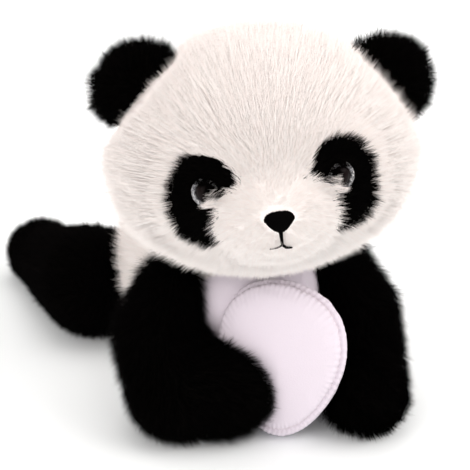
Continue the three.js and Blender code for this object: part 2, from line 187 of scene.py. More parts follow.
def waves(points, length, seed):
    """A smooth random vector field whose bumps are about the given length apart."""
    rng = np.random.default_rng(seed)
    total = np.zeros_like(points)
    for _ in range(WAVES):
        direction = unit(rng.normal(size=3)) * (2 * math.pi / length) * rng.uniform(0.6, 1.5)
        phase = rng.uniform(0, 2 * math.pi)
        total += np.sin(points @ direction + phase)[:, None] * rng.normal(size=3)
    return total / WAVE_SUM


# ---------------------------------------------------------------- materials


def paint(name, colour, roughness, sheen=0.0, specular=0.5, metallic=0.0):
    made = bpy.data.materials.new(name)
    made.use_nodes = True
    shader = made.node_tree.nodes["Principled BSDF"]
    shader.inputs["Base Color"].default_value = (*colour, 1)
    shader.inputs["Roughness"].default_value = roughness
    shader.inputs["Sheen Weight"].default_value = sheen
    shader.inputs["Specular IOR Level"].default_value = specular
    shader.inputs["Metallic"].default_value = metallic
    return made


def grain(made, size, depth):
    """A fine woven or brushed relief."""
    nodes, links = made.node_tree.nodes, made.node_tree.links
    place = nodes.new("ShaderNodeTexCoord")
    noise = nodes.new("ShaderNodeTexNoise")
    noise.inputs["Scale"].default_value = 1 / (size * MM)
    noise.inputs["Detail"].default_value = 2
    bump = nodes.new("ShaderNodeBump")
    bump.inputs["Distance"].default_value = depth * MM
    bump.inputs["Strength"].default_value = 0.6
    links.new(place.outputs["Object"], noise.inputs["Vector"])
    links.new(noise.outputs["Fac"], bump.inputs["Height"])
    links.new(bump.outputs["Normal"], nodes["Principled BSDF"].inputs["Normal"])
    return made


WHITE = [
    paint("white_fur_bright", (0.985, 0.945, 0.92), 0.9, specular=0.03),
    paint("white_fur_cream", (0.97, 0.90, 0.86), 0.9, specular=0.03),
    paint("white_fur_rosy", (0.95, 0.87, 0.845), 0.9, specular=0.03),
]
WHITE_SKIN = grain(paint("white_fur_roots", (0.985, 0.94, 0.915), 0.9, specular=0.03), 1.0, 0.2)
BLACK = [
    paint("black_fur_deep", (0.0006, 0.0005, 0.0005), 0.9, specular=0.01),
    paint("black_fur_soft", (0.0011, 0.0009, 0.0008), 0.9, specular=0.02),
    paint("black_fur_tips", (0.0026, 0.0020, 0.0018), 0.9, specular=0.03),
]
BLACK_SKIN = grain(paint("black_fur_roots", (0.0005, 0.0005, 0.0005), 0.9, specular=0.01), 1.0, 0.2)
PLUSH = grain(paint("smooth_plush", (0.70, 0.64, 0.71), 0.9, sheen=0.1, specular=0.05), 0.7, 0.25)
SEAM = grain(paint("plush_seam", (0.62, 0.54, 0.58), 0.9, specular=0.05), 0.5, 0.2)
THREAD = grain(paint("black_thread", (0.0008, 0.0007, 0.0007), 0.8, specular=0.02), 0.4, 0.1)
PUPIL = paint("pupil_plastic", (0.006, 0.003, 0.0028), 0.12, specular=0.07)
BAND = grain(paint("glitter_base", (0.09, 0.09, 0.10), 0.4, metallic=0.6), 0.3, 0.1)
GLITTER = paint("silver_glitter", (0.55, 0.55, 0.56), 0.3, metallic=1.0)
FILLING = grain(paint("fibre_filling", (0.85, 0.85, 0.83), 0.95), 2.0, 0.8)
WASHER = grain(paint("washer_plastic", (0.75, 0.75, 0.72), 0.4), 1.0, 0.05)

# ---------------------------------------------------------------- meshes


def mesh_object(name, points, faces, material, smooth=True):
    """An object from points in the drawing's frame, in millimetres."""
    mesh = bpy.data.meshes.new(name)
    mesh.from_pydata(((np.asarray(points) + SHIFT) * MM).tolist(), [], [list(f) for f in faces])
    mesh.materials.append(material)
    if smooth:
        mesh.shade_smooth()
    mesh.update()
    made = bpy.data.objects.new(name, mesh)
    bpy.context.scene.collection.objects.link(made)
    return made


def ball_mesh(around, down):
    """A unit ball's points and faces."""
    points = [[0, 0, 1]]
    for i in range(1, down):
        high = math.pi * i / down
        for k in range(around):
            turn = 2 * math.pi * k / around
            wide = math.sin(high)
            points.append([wide * math.cos(turn), wide * math.sin(turn), math.cos(high)])
    points.append([0, 0, -1])
    last = len(points) - 1
    faces = []
    for k in range(around):
        n = (k + 1) % around
        faces.append([0, 1 + k, 1 + n])
        for i in range(down - 2):
            a = 1 + i * around
            faces.append([a + k, a + around + k, a + around + n, a + n])
        a = 1 + (down - 2) * around
        faces.append([a + k, last, a + n])
    return np.array(points, float), faces


def egg(centre, radii, axes=None, around=32, down=16):
    points, faces = ball_mesh(around, down)
    axes = np.eye(3) if axes is None else axes
    return (points * np.asarray(radii, float)) @ axes.T + np.asarray(centre, float), faces


def along(line, radii, count=12, widen=1.0):
    """Eggs strung closely along a line: together they make a tube with round ends."""
    line, radii = np.asarray(line, float), np.asarray(radii, float)
    knots = np.linspace(0, 1, len(line))
    eggs = []
    for t in np.linspace(0, 1, count):
        centre = [np.interp(t, knots, line[:, k]) for k in range(3)]
        r = np.interp(t, knots, radii)
        eggs.append(egg(centre, [r * widen, r, r], around=24, down=12))
    return eggs


def skin(name, parts, material, voxel, smoothing):
    """One smooth closed surface round several overlapping shapes."""
    points, faces, start = [], [], 0
    for part_points, part_faces in parts:
        points.append(part_points)
        faces += [[i + start for i in f] for f in part_faces]
        start += len(part_points)
    made = mesh_object(name, np.vstack(points), faces, material)
    remesh = made.modifiers.new("one surface", "REMESH")
    remesh.mode = "VOXEL"
    remesh.voxel_size = voxel * MM
    relax = made.modifiers.new("relax", "SMOOTH")
    relax.factor = 0.5
    relax.iterations = smoothing
    return applied(made, material)


def applied(made, material):
    """The object with its modifiers turned into plain mesh."""
    graph = bpy.context.evaluated_depsgraph_get()
    mesh = bpy.data.meshes.new_from_object(made.evaluated_get(graph))
    made.modifiers.clear()
    made.data = mesh
    mesh.materials.clear()
    mesh.materials.append(material)
    mesh.shade_smooth()
    return made


def surface_of(made):
    """Every point of a mesh with its normal, in the drawing's frame."""
    mesh = made.data
    place, normal = np.empty(len(mesh.vertices) * 3), np.empty(len(mesh.vertices) * 3)
    mesh.vertices.foreach_get("co", place)
    mesh.vertex_normals.foreach_get("vector", normal)
    return place.reshape(-1, 3) / MM - SHIFT, normal.reshape(-1, 3)


def move_to(made, points):
    made.data.vertices.foreach_set("co", ((points + SHIFT) * MM).ravel())
    made.data.update()


CLOTH_STEPS = 20


def inflate(made, pressure, most):
    """Blows a closed cloth up from inside, and lets no point move further than a limit."""
    before, _ = surface_of(made)
    cloth = made.modifiers.new("fill", "CLOTH")
    cloth.settings.use_pressure = True
    cloth.settings.uniform_pressure_force = pressure
    cloth.settings.effector_weights.gravity = 0
    for step in range(1, CLOTH_STEPS + 1):
        bpy.context.scene.frame_set(step)
    applied(made, made.data.materials[0])
    bpy.context.scene.frame_set(1)
    after, _ = surface_of(made)
    moved = after - before
    far = np.linalg.norm(moved, axis=1, keepdims=True)
    move_to(made, before + moved * np.minimum(1, most / np.maximum(far, 1e-6)))


def rest_on_floor(made, height=FLOOR_GAP):
    """Soft pieces flatten where they lie on the floor."""
    for vertex in made.data.vertices:
        vertex.co.z = max(vertex.co.z, height * MM)
    made.data.update()
    return made


# ---------------------------------------------------------------- fur


def scatter(made, per_mm2, rng):
    """Evenly random roots on a surface, with the surface's smooth normals there."""
    mesh = made.data
    mesh.calc_loop_triangles()
    corners = np.empty(len(mesh.loop_triangles) * 3, int)
    mesh.loop_triangles.foreach_get("vertices", corners)
    corners = corners.reshape(-1, 3)
    place, normal = surface_of(made)
    a, b, c = (place[corners[:, k]] for k in range(3))
    area = np.linalg.norm(np.cross(b - a, c - a), axis=1) / 2
    count = int(area.sum() * per_mm2)
    chosen = rng.choice(len(corners), count, p=area / area.sum())
    u, v = rng.random(count), rng.random(count)
    fold = u + v > 1
    u[fold], v[fold] = 1 - u[fold], 1 - v[fold]
    share = np.stack([1 - u - v, u, v], 1)[:, :, None]
    roots = (place[corners[chosen]] * share).sum(1)
    return roots, unit((normal[corners[chosen]] * share).sum(1))


def nearest(points, centres):
    """For each point, the index of the nearest centre."""
    tree = kdtree.KDTree(len(centres))
    for i, centre in enumerate(centres):
        tree.insert(centre, i)
    tree.balance()
    return np.array([tree.find(p)[1] for p in points])


def gathered(tips, roots, rng, share, pull):
    """Draws the hairs' tips together into tufts."""
    count = len(roots)
    picked = rng.choice(count, max(1, count // share), replace=False)
    leader = picked[nearest(roots, roots[picked])]
    tips += (tips[leader] - tips) * rng.uniform(0.5, 1, (count, 1)) * pull


WIDE_SWAY, NARROW_SWAY, LENGTH_SWAY = 30, 10, 16  # mm between the waves in the lay and the length
LOCK, TUFT = 120, 12  # the hairs that are drawn to each leading hair, in two sizes
WISP_STAND, WISP_LENGTH = 0.3, 1.2  # a wisp stands higher (radians) and is longer (times)


def comb(roots, normals, lay, length, style, rng):
    """The tip of each hair."""
    count = len(roots)
    wild = rng.normal(size=(count, 3)) * style["stray"]
    sway = (waves(roots, WIDE_SWAY, 5) + waves(roots, NARROW_SWAY, 6) * 0.5) * style["sway"]
    flow = lay + sway + wild
    flow = unit(flow - (flow * normals).sum(1, keepdims=True) * normals)
    wisp = rng.random(count) < style["wisps"]
    stand = np.radians(style["stand"]) * rng.uniform(0.6, 1.3, count)
    stand += np.where(wisp, WISP_STAND, 0)
    uneven = 1 + 0.4 * style["sway"] * waves(roots, LENGTH_SWAY, 7)[:, 0]
    length = length * np.where(wisp, WISP_LENGTH, 1) * uneven
    step = normals * np.sin(stand)[:, None] + flow * np.cos(stand)[:, None]
    tips = roots + step * length[:, None]
    gathered(tips, roots, rng, LOCK, style["clump"] * 0.5)
    gathered(tips, roots, rng, TUFT, style["clump"])
    tips[:, 2] = np.maximum(tips[:, 2], FLOOR_GAP)
    return tips


HAIR_FACES = np.array([[0, 2, 1], [0, 1, 3], [1, 2, 3], [2, 0, 3]])  # three root corners and the tip
MOST_HAIRS = 48000  # in one piece, which keeps each under 200,000 triangles
ROOT_DEPTH = 0.8  # mm that a hair starts below its skin
SOFTNESS = 0.95  # how far a hair is shaded as the coat round it
FLATNESS = 0.4  # a hair's thickness as a share of its width, so that its broad side faces out


def fur(name, roots, tips, normals, width, tones, materials):
    """One mesh of many thin closed spikes, shaded as a coat and not as separate wires."""
    count = len(roots)
    corners, shading = [], []
    ahead = unit(tips - roots)
    side = unit(np.cross(normals, ahead))
    up = np.cross(ahead, side) * FLATNESS
    for turn in np.radians([90, 210, 330]):
        offset = side * math.cos(turn) + up * math.sin(turn)
        corners.append(roots - normals * ROOT_DEPTH + offset * width[:, None])
        shading.append(unit(normals * SOFTNESS + offset * (1 - SOFTNESS)))
    points = np.stack([*corners, tips], 1).reshape(-1, 3)
    points[:, 2] = np.maximum(points[:, 2], 0.1)
    shading = np.stack([*shading, normals], 1).reshape(-1, 3)
    faces = (HAIR_FACES[None] + np.arange(count)[:, None, None] * 4).reshape(-1, 3)
    mesh = bpy.data.meshes.new(name)
    mesh.vertices.add(len(points))
    mesh.vertices.foreach_set("co", ((points + SHIFT) * MM).ravel())
    mesh.loops.add(faces.size)
    mesh.loops.foreach_set("vertex_index", faces.ravel())
    mesh.polygons.add(len(faces))
    mesh.polygons.foreach_set("loop_start", np.arange(len(faces)) * 3)
    mesh.polygons.foreach_set("material_index", np.repeat(tones, len(HAIR_FACES)))
    for material in materials:
        mesh.materials.append(material)
    mesh.update(calc_edges=True)
    mesh.shade_smooth()
    mesh.normals_split_custom_set_from_vertices(shading)
    made = bpy.data.objects.new(name, mesh)
    bpy.context.scene.collection.objects.link(made)
    return made


# stand: degrees from the skin. sway, stray and clump: how far a hair gives way to the slow waves,
# to its own random turn and to its tuft. wisps: the share of hairs that stand out of the coat.
LONG_WHITE = {"stand": 22, "sway": 0.14, "clump": 0.3, "stray": 0.15, "wisps": 0.2}
SHORT_BLACK = {"stand": 33, "sway": 0.25, "clump": 0.35, "stray": 0.3, "wisps": 0.3}
EYE_FRINGE = {"stand": 46, "sway": 0.1, "clump": 0.45, "stray": 0.15, "wisps": 0.0}

# Hairs on each square millimetre, and about half a hair's width in mm.
HEAD_HAIR, BODY_HAIR = (4.6, 0.19), (2.2, 0.24)
PATCH_HAIR, EAR_HAIR, LIMB_HAIR, FRINGE_HAIR = (5.0, 0.18), (4.0, 0.18), (2.6, 0.21), (9.0, 0.21)
TONE_SHARES = [0.5, 0.3, 0.2]  # of a coat's three materials
LENGTH_SPREAD, WIDTH_SPREAD = (0.75, 1.15), (0.7, 1.2)


def grow(name, source, body, rule, materials, hair, seed, style):
    """Fur on a surface. The rule says, for roots and normals, which to keep, the lay and the length."""
    rng = np.random.default_rng(seed)
    per_mm2, width = hair
    roots, normals = scatter(source, per_mm2, rng)
    keep, lay, length = rule(roots, normals)
    roots, normals, lay, length = roots[keep], normals[keep], lay[keep], length[keep]
    length = length * rng.uniform(*LENGTH_SPREAD, len(length))
    tips = comb(roots, normals, lay, length, style, rng)
    thick = width * rng.uniform(*WIDTH_SPREAD, len(roots))
    tones = rng.choice(len(materials), len(roots), p=TONE_SHARES)
    middle = roots.mean(0)
    order = np.argsort(np.arctan2(roots[:, 0] - middle[0], roots[:, 1] - middle[1]))
    parts = np.array_split(order, -(-len(order) // MOST_HAIRS))
    for i, pick in enumerate(parts):
        label = name if len(parts) == 1 else f"{name}_{i + 1}"
        hairs = (part[pick] for part in (roots, tips, normals, thick, tones))
        piece = fur(label, *hairs, materials)
        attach(piece, body)


# ---------------------------------------------------------------- head


def on_front(x, z, centre, radii):
    """The front of an ellipsoid of the head above the point (x, z) of the face."""
    depth = 1 - ((x - centre[0]) / radii[0]) ** 2 - ((z - centre[2]) / radii[2]) ** 2
    return np.array([x, centre[1] - radii[1] * math.sqrt(max(depth, 0)), z])


def in_muzzle(face):
    x = face[:, 0] / MUZZLE_OVAL[0]
    z = (face[:, 2] - MUZZLE_CENTRE[2]) / MUZZLE_OVAL[1]
    return (x**2 + z**2 < 1) & (face[:, 1] < 0)


def in_patch(face, sign, margin=0.0):
    lean = math.radians(PATCH["lean"])
    x = face[:, 0] * sign - PATCH["side"]
    z = face[:, 2] - PATCH["height"]
    u = (x * math.cos(lean) - z * math.sin(lean)) / (PATCH["across"] + margin)
    v = (z * math.cos(lean) + x * math.sin(lean)) / (PATCH["up"] + margin)
    oval = abs(u) ** PATCH["square"] + abs(v) ** PATCH["square"] < 1
    return oval & (face[:, 1] < 0) & ~in_muzzle(face)


EYES = {side: on_front(s * EYE_SIDE, EYE_HEIGHT, np.zeros(3), HEAD_RADII) for side, s in SIDES.items()}


def ear_place(side):
    """The way an ear points and its middle, in the head's own frame."""
    sign, high = SIDES[side], math.radians(EARS[side])
    edge = 1 / math.hypot(math.cos(high) / HEAD_RADII[0], math.sin(high) / HEAD_RADII[2])
    out = np.array([sign * math.cos(high), 0, math.sin(high)])
    return out, out * edge + [0, EAR_BACK, 0]


def nose_half(z):
    """Half the nose's width at a height above its middle: a rounded shield, pointed below."""
    share = np.clip((z + NOSE_HEIGHT / 2) / NOSE_HEIGHT, 0, 1)
    point = np.clip(share * 1.75, 0, 1) ** 0.6
    round_top = np.sqrt(np.clip(1.02 - share**6, 0, 1))
    return NOSE_WIDTH / 2 * point * round_top


NOSE_MARGIN = 0.2


def in_nose(face):
    z = face[:, 2] - MUZZLE_CENTRE[2] - NOSE_RISE
    level = np.abs(z) < NOSE_HEIGHT / 2 + NOSE_MARGIN
    return level & (np.abs(face[:, 0]) < nose_half(z) + NOSE_MARGIN) & (face[:, 1] < NOSE_FRONT)


def on_smile(face):
    """The crease in the fur that carries the mouth's line on round the left cheek."""
    x = face[:, 0]
    curve = SMILE["low"] + SMILE["bend"] * (x - SMILE["start"]) ** 2
    along_it = (x > SMILE["start"]) & (x < SMILE["end"])
    return (abs(face[:, 2] - curve) < SMILE["half"]) & along_it & (face[:, 1] < 0)


# A first pair holds at the near and the far end of the stretch in mm that the second pair gives.
NOSE_TIP = np.array([0.0, -78.0, -6.0])
FACE_LENGTHS, FACE_REACH = (5.0, 15.5), (18, 66)  # from the tip of the nose
CHIN_SHARES, CHIN_REACH = (1, 0.5), (26, 52)  # below the head's middle
EAR_GAP_LENGTHS, EAR_GAP_REACH = (4.5, 15.5), (EAR_RADIUS, EAR_RADIUS + 16)  # from an ear's middle
REAR_DROP, REAR_REACH = 1.5, (-20, 40)  # how strongly the fur turns down on the back of the head
CREASE_LENGTH, PATCH_LENGTH = 2.0, 8.0
BY_PATCH_LENGTH, BY_PATCH = 9, 7
BY_EYE_LENGTH, BY_EYE = 5.5, 5


def face_fur(black_side=None):
    """The rule for white fur on the head, or for one black eye patch."""

    def rule(roots, normals):
        face = to_head(roots)
        downward = np.outer(REAR_DROP * smooth_step(face[:, 1], *REAR_REACH), [0, 0, -1])
        lay = (unit(face - FUR_PARTING) + downward) @ HEAD_AXES.T
        from_nose = np.linalg.norm(face - NOSE_TIP, axis=1)
        length = between(*FACE_LENGTHS, smooth_step(from_nose, *FACE_REACH))
        length = np.where(on_smile(face), CREASE_LENGTH, length)
        length = length * between(*CHIN_SHARES, smooth_step(-face[:, 2], *CHIN_REACH))
        side = np.sign(face[:, 0])
        eye = np.where(side[:, None] > 0, EYES["left"], EYES["right"])
        from_eye = np.linalg.norm(face - eye, axis=1)
        outer = (face - eye)[:, 0] * side > 0
        if black_side:
            keep = in_patch(face, SIDES[black_side])
            length = np.full(len(face), PATCH_LENGTH)
        else:
            keep = ~in_patch(face, 1) & ~in_patch(face, -1) & ~in_nose(face)
            for ear in SIDES:
                beside = np.linalg.norm(face - ear_place(ear)[1], axis=1)
                most = between(*EAR_GAP_LENGTHS, smooth_step(beside, *EAR_GAP_REACH))
                length = np.minimum(length, most)
            close = in_patch(face, 1, BY_PATCH) | in_patch(face, -1, BY_PATCH)
            length = np.where(close & ~in_muzzle(face), np.minimum(length, BY_PATCH_LENGTH), length)
        keep &= from_eye > EYE_RING - 1.0
        beside_eye = (from_eye < EYE_RING + BY_EYE) & outer
        length = np.where(beside_eye, np.minimum(length, BY_EYE_LENGTH), length)
        return keep, lay, length

    return rule


FRINGE_FROM, FRINGE_TO, FRINGE_LENGTH = 6.8, 11.5, 9.5
FRINGES = {  # where each colour is rooted, in mm towards the nose and up from the eye, and its rise
    "white": {"coat": WHITE, "inward": 2.5, "low": -8, "high": 2, "rise": 0.1},
    "black": {"coat": BLACK, "inward": 0, "low": 0, "high": FRINGE_TO, "rise": -0.55},
}


def eye_fringe(side, fringe):
    """The rule for the hairs that hang over an eye: white ones from the muzzle, black from above."""

    def rule(roots, normals):
        face = to_head(roots)
        offset = face - EYES[side]
        inward, up = -offset[:, 0] * SIDES[side], offset[:, 2]
        away = np.linalg.norm(offset, axis=1)
        sector = (inward > fringe["inward"]) & (up > fringe["low"]) & (up < fringe["high"])
        way = np.array([SIDES[side], 0, fringe["rise"]])
        lay = np.tile(HEAD_AXES @ way, (len(roots), 1))
        keep = (away > FRINGE_FROM) & (away < FRINGE_TO) & sector
        return keep, lay, np.full(len(roots), FRINGE_LENGTH)

    return rule


def make_head():
    parts = [
        egg(HEAD_CENTRE, HEAD_RADII, HEAD_AXES, around=48, down=24),
        egg(from_head(MUZZLE_CENTRE), MUZZLE_RADII, HEAD_AXES, around=48, down=24),
    ]
    cover = skin("head_skin", parts, WHITE_SKIN, voxel=2.5, smoothing=10)
    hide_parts("head_cover", "muzzle_panel", "eye_patch_right", "eye_patch_left")
    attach(cover, "head")
    cover.data.materials.append(BLACK_SKIN)
    for polygon in cover.data.polygons:
        spot = to_head([np.array(polygon.center) / MM - SHIFT])
        if in_patch(spot, 1, PATCH_MARGIN)[0] or in_patch(spot, -1, PATCH_MARGIN)[0]:
            polygon.material_index = 1
    grow("head_fur", cover, "head", face_fur(), WHITE, HEAD_HAIR, 11, LONG_WHITE)
    for i, side in enumerate(SIDES):
        grow(f"patch_fur_{side}", cover, "head", face_fur(side), BLACK, PATCH_HAIR, 20 + i, SHORT_BLACK)
        for colour, fringe in FRINGES.items():
            label, rule = f"eye_fringe_{colour}_{side}", eye_fringe(side, fringe)
            grow(label, cover, "head", rule, fringe["coat"], FRINGE_HAIR, 24 + i, EYE_FRINGE)


# ---------------------------------------------------------------- ears


EAR_LENGTH = 8.5  # of its fur
EAR_PARTING = 10  # from an ear's middle towards the head: its fur streams away from there
EAR_CLEAR = 1  # no ear fur is rooted in the head or this close to it


def make_ear(side):
    out, middle = ear_place(side)
    radii = [EAR_RADIUS, EAR_THICKNESS / 2, EAR_RADIUS]
    disc = egg(from_head(middle), radii, HEAD_AXES)
    cover = skin(f"ear_skin_{side}", [disc], BLACK_SKIN, voxel=2.0, smoothing=4)
    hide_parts(f"ear_front_{side}", f"ear_back_{side}")
    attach(cover, f"ear_{side}")

    def rule(roots, normals):
        face = to_head(roots)
        lay = unit(face - middle + out * EAR_PARTING) @ HEAD_AXES.T
        inside = ((face / (HEAD_RADII + EAR_CLEAR)) ** 2).sum(1) < 1
        return ~inside, lay, np.full(len(face), EAR_LENGTH)

    seed = 30 + SIDES[side]
    grow(f"ear_fur_{side}", cover, f"ear_{side}", rule, BLACK, EAR_HAIR, seed, SHORT_BLACK)


# ---------------------------------------------------------------- eyes, nose and mouth


def eye_axes(side):
    """The eye's frame: its third axis points out of the face."""
    outward = unit(HEAD_AXES @ (EYES[side] / HEAD_RADII**2))
    across = unit(np.cross([0, 0, 1], outward))
    return np.stack([across, np.cross(outward, across), outward], 1)


def turned(name, profile, centre, axes, material, around=64):
    """A closed surface of revolution: profile is (radius, height) from axis to axis, or a loop."""
    rings, points, faces = [], [], []
    for radius, height in profile:
        if radius == 0:
            rings.append([len(points)])
            points.append([0, 0, height])
            continue
        rings.append(list(range(len(points), len(points) + around)))
        for k in range(around):
            turn = 2 * math.pi * k / around
            points.append([radius * math.cos(turn), radius * math.sin(turn), height])
    pairs = list(zip(rings, rings[1:]))
    if len(rings[0]) > 1:
        pairs.append((rings[-1], rings[0]))
    for low, high in pairs:
        for k in range(around):
            n = (k + 1) % around
            if len(low) == 1:
                faces.append([low[0], high[n], high[k]])
            elif len(high) == 1:
                faces.append([low[k], low[n], high[0]])
            else:
                faces.append([low[k], low[n], high[n], high[k]])
    placed = np.array(points) @ np.asarray(axes).T + centre
    return mesh_object(name, placed, faces, material)


def make_eye(side):
    axes, centre = eye_axes(side), from_head(EYES[side])
    turns = np.linspace(math.pi / 2, 0, 14)
    bow = [(EYE_PUPIL * math.sin(t), DOME_FOOT + DOME_RISE * math.cos(t)) for t in turns]
    bow[-1] = (0, bow[-1][1])
    stem = [(0, STEM_END), (STEM_RADIUS, STEM_END), (STEM_RADIUS, STEM_TOP)]
    dome = turned(f"pupil_{side}", [*stem, *bow], centre, axes, PUPIL)
    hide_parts(f"eye_dome_{side}")
    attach(dome, "head")
    rim = [
        (RING_MIDDLE + RING_HALF * math.cos(t), RING_HEIGHT + RING_RISE * math.sin(t))
        for t in np.linspace(0, 2 * math.pi, 13)[:-1]
    ]
    ring = turned(f"glitter_band_{side}", rim, centre, axes, BAND, around=96)
    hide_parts(f"eye_ring_{side}")
    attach(ring, "head")
    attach(make_glitter(side, centre, axes), "head")


def make_glitter(side, centre, axes):
    """Small hexagonal flakes stuck at random angles on the ring."""
    rng = np.random.default_rng(70 + SIDES[side])
    points, faces = [], []
    for _ in range(FLAKES):
        turn = rng.uniform(0, 2 * math.pi)
        roll = rng.uniform(FLAKE_EDGE, math.pi - FLAKE_EDGE)
        reach = RING_MIDDLE + RING_HALF * math.cos(roll)
        height = RING_HEIGHT + FLAKE_RISE * math.sin(roll)
        spot = np.array([reach * math.cos(turn), reach * math.sin(turn), height])
        outward = [math.cos(roll) * math.cos(turn), math.cos(roll) * math.sin(turn), math.sin(roll)]
        facing = unit(np.array(outward) + rng.normal(size=3) * FLAKE_TILT)
        side_way = unit(np.cross(facing, rng.normal(size=3)))
        up = np.cross(facing, side_way)
        size = rng.uniform(*FLAKE_SIZES)
        start = len(points)
        for lift in (0.0, FLAKE_THICK):
            for k in range(6):
                angle = math.pi * k / 3
                corner = side_way * math.cos(angle) + up * math.sin(angle)
                points.append(spot + size * corner + facing * lift)
        faces.append([start + k for k in range(5, -1, -1)])
        faces.append([start + 6 + k for k in range(6)])
        for k in range(6):
            n = (k + 1) % 6
            faces.append([start + k, start + n, start + 6 + n, start + 6 + k])
    placed = np.array(points) @ axes.T + centre
    return mesh_object(f"glitter_flakes_{side}", placed, faces, GLITTER, smooth=False)


THREAD_END = 0.55  # the thickness of a thread's very ends, as a share


def thread(points, radius, sides=8, closed=False):
    """A round thread through the given points, with its ends rounded off or joined to each other."""
    points = np.asarray(points, float)
    count = len(points)
    ahead = np.roll(points, -1, 0) - np.roll(points, 1, 0) if closed else np.gradient(points, axis=0)
    ahead = unit(ahead)
    side = unit(np.cross(ahead, [0.2, 0.9, 0.3]))  # any direction that no thread runs along
    up = np.cross(ahead, side)
    thick = np.broadcast_to(radius, count).astype(float)
    if not closed:
        thick = thick * np.where(np.isin(np.arange(count), (0, count - 1)), THREAD_END, 1)
    turns = np.arange(sides) * 2 * math.pi / sides
    rings = side[:, None] * np.cos(turns)[:, None] + up[:, None] * np.sin(turns)[:, None]
    made = points[:, None] + rings * thick[:, None, None]
    faces = []
    for k in range(count if closed else count - 1):
        here, there = k * sides, (k + 1) % count * sides
        for j in range(sides):
            n = (j + 1) % sides
            faces.append([here + j, here + n, there + n, there + j])
    if not closed:
        faces.append(list(range(sides - 1, -1, -1)))
        faces.append([(count - 1) * sides + j for j in range(sides)])
    return made.reshape(-1, 3), faces


def threads(name, runs):
    """Several threads as one mesh; the runs are lines in the head's own frame."""
    points, faces, start = [], [], 0
    for run in runs:
        run_points, run_faces = thread(from_head(run), THREAD_RADIUS)
        points.append(run_points)
        faces += [[i + start for i in f] for f in run_faces]
        start += len(run_points)
    return mesh_object(name, np.vstack(points), faces, THREAD)


RUN_POINTS = 14


def on_muzzle(spots, lift):
    """A smooth run over the muzzle through (x, z) spots of the face."""
    xs, zs = np.array(spots, float).T
    t = np.linspace(0, len(xs) - 1, RUN_POINTS)
    bend = np.interp(t, range(len(xs)), xs), np.interp(t, range(len(zs)), zs)
    eased = [np.convolve(np.pad(b, 1, "edge"), [0.25, 0.5, 0.25], "valid") for b in bend]
    return [on_front(a, b, MUZZLE_CENTRE, MUZZLE_RADII + lift) for a, b in zip(*eased)]


def make_nose():
    """Satin stitches side by side, padded so that the nose stands proud of the fur."""
    middle = MUZZLE_CENTRE[2] + NOSE_RISE
    rng = np.random.default_rng(80)
    heights = np.linspace(-NOSE_HEIGHT / 2, NOSE_HEIGHT / 2, 60)
    halves = nose_half(heights)
    runs = []
    outermost = NOSE_WIDTH / 2 - 0.3
    for x in np.linspace(-outermost, outermost, NOSE_STITCHES):
        inside = heights[halves >= abs(x)]
        if len(inside) < 4:
            continue
        low, top = inside[0] - rng.uniform(0, 0.3), inside[-1] + rng.uniform(0, 0.3)
        puff = NOSE_PUFF * (1 - (x / NOSE_WIDTH * 2) ** 2) ** 0.5 + NOSE_LIFT
        run = []
        for t in np.linspace(0, 1, 11):
            lift = puff * math.sin(math.pi * (0.1 + 0.8 * t)) ** 0.6
            height = middle + low + (top - low) * t
            run.append(on_front(x, height, MUZZLE_CENTRE, MUZZLE_RADII + lift))
        runs.append(run)
    nose = threads("nose_threads", runs)
    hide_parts("nose_embroidery")
    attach(nose, "head")


def make_mouth():
    """A stem below the nose, a branch to the toy's left and a longer, thinner one to its right."""
    tip = MUZZLE_CENTRE[2] + NOSE_RISE - NOSE_HEIGHT / 2
    lines = []
    for aside in (-0.6, 0, 0.6):
        stem = [(aside * 1.6, tip + 2), (aside * 0.9, tip - 1), (0.3 + aside * 0.5, tip - 7.6)]
        left = [(0.3, tip - 7.4 + aside), (2.2, tip - 9.6 + aside * 0.8), (5.6, tip - 10.4)]
        lines.append(on_muzzle(stem, lift=2.2))
        lines.append(on_muzzle(left, lift=2.0))
    right = [(0.2, tip - 8), (-2.2, tip - 9.4), (-6.4, tip - 10)]
    lines.append(on_muzzle(right, lift=1.5))
    mouth = threads("mouth_threads", lines)
    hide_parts("mouth_stitching")
    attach(mouth, "head")


# ---------------------------------------------------------------- limbs


LIMB_MARKS = 24
TOE_SHARE = 0.6  # how far along its half length a paw's fur is told to point at the toes


def limb_flow(spec):
    """The points of a limb's line and the way its fur lies at each."""
    line = np.asarray(spec["line"], float) + spec["pivot"]
    knots = np.linspace(0, 1, len(line))
    steps = np.linspace(0, 1, LIMB_MARKS)
    path = np.array([[np.interp(t, knots, line[:, k]) for k in range(3)] for t in steps])
    toe = about_z(spec["paw"]["turn"]) @ np.array([0, -1, 0]) * np.sign(-spec["line"][-1][1])
    paw = np.asarray(spec["paw"]["centre"], float) + spec["pivot"]
    ways = unit(np.gradient(path, axis=0))
    marks = np.vstack([path, [paw, paw + toe * spec["paw"]["radii"][1] * TOE_SHARE]])
    return marks, np.vstack([ways, [toe, toe]])


def limb_parts(name):
    """The overlapping eggs that a limb's outside is made of."""
    spec = LIMBS[name]
    pivot, paw = np.asarray(spec["pivot"], float), spec["paw"]
    parts = along(np.asarray(spec["line"]) + pivot, spec["radii"])
    toe = egg(np.asarray(paw["centre"]) + pivot, paw["radii"], about_z(paw["turn"]))
    return [*parts, toe]


def make_limb(name):
    spec = LIMBS[name]
    cover = skin(f"{name}_skin", limb_parts(name), BLACK_SKIN, voxel=3.0, smoothing=8)
    rest_on_floor(cover)
    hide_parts(f"{name}_cover")
    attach(cover, name)
    marks, ways = limb_flow(spec)

    def rule(roots, normals):
        lay = ways[nearest(roots, marks)]
        return off_floor(roots, normals), lay, np.full(len(roots), spec["fur"])

    seed = 40 + list(LIMBS).index(name)
    grow(f"{name}_fur", cover, name, rule, BLACK, LIMB_HAIR, seed, SHORT_BLACK)


# ---------------------------------------------------------------- torso, neck and belly

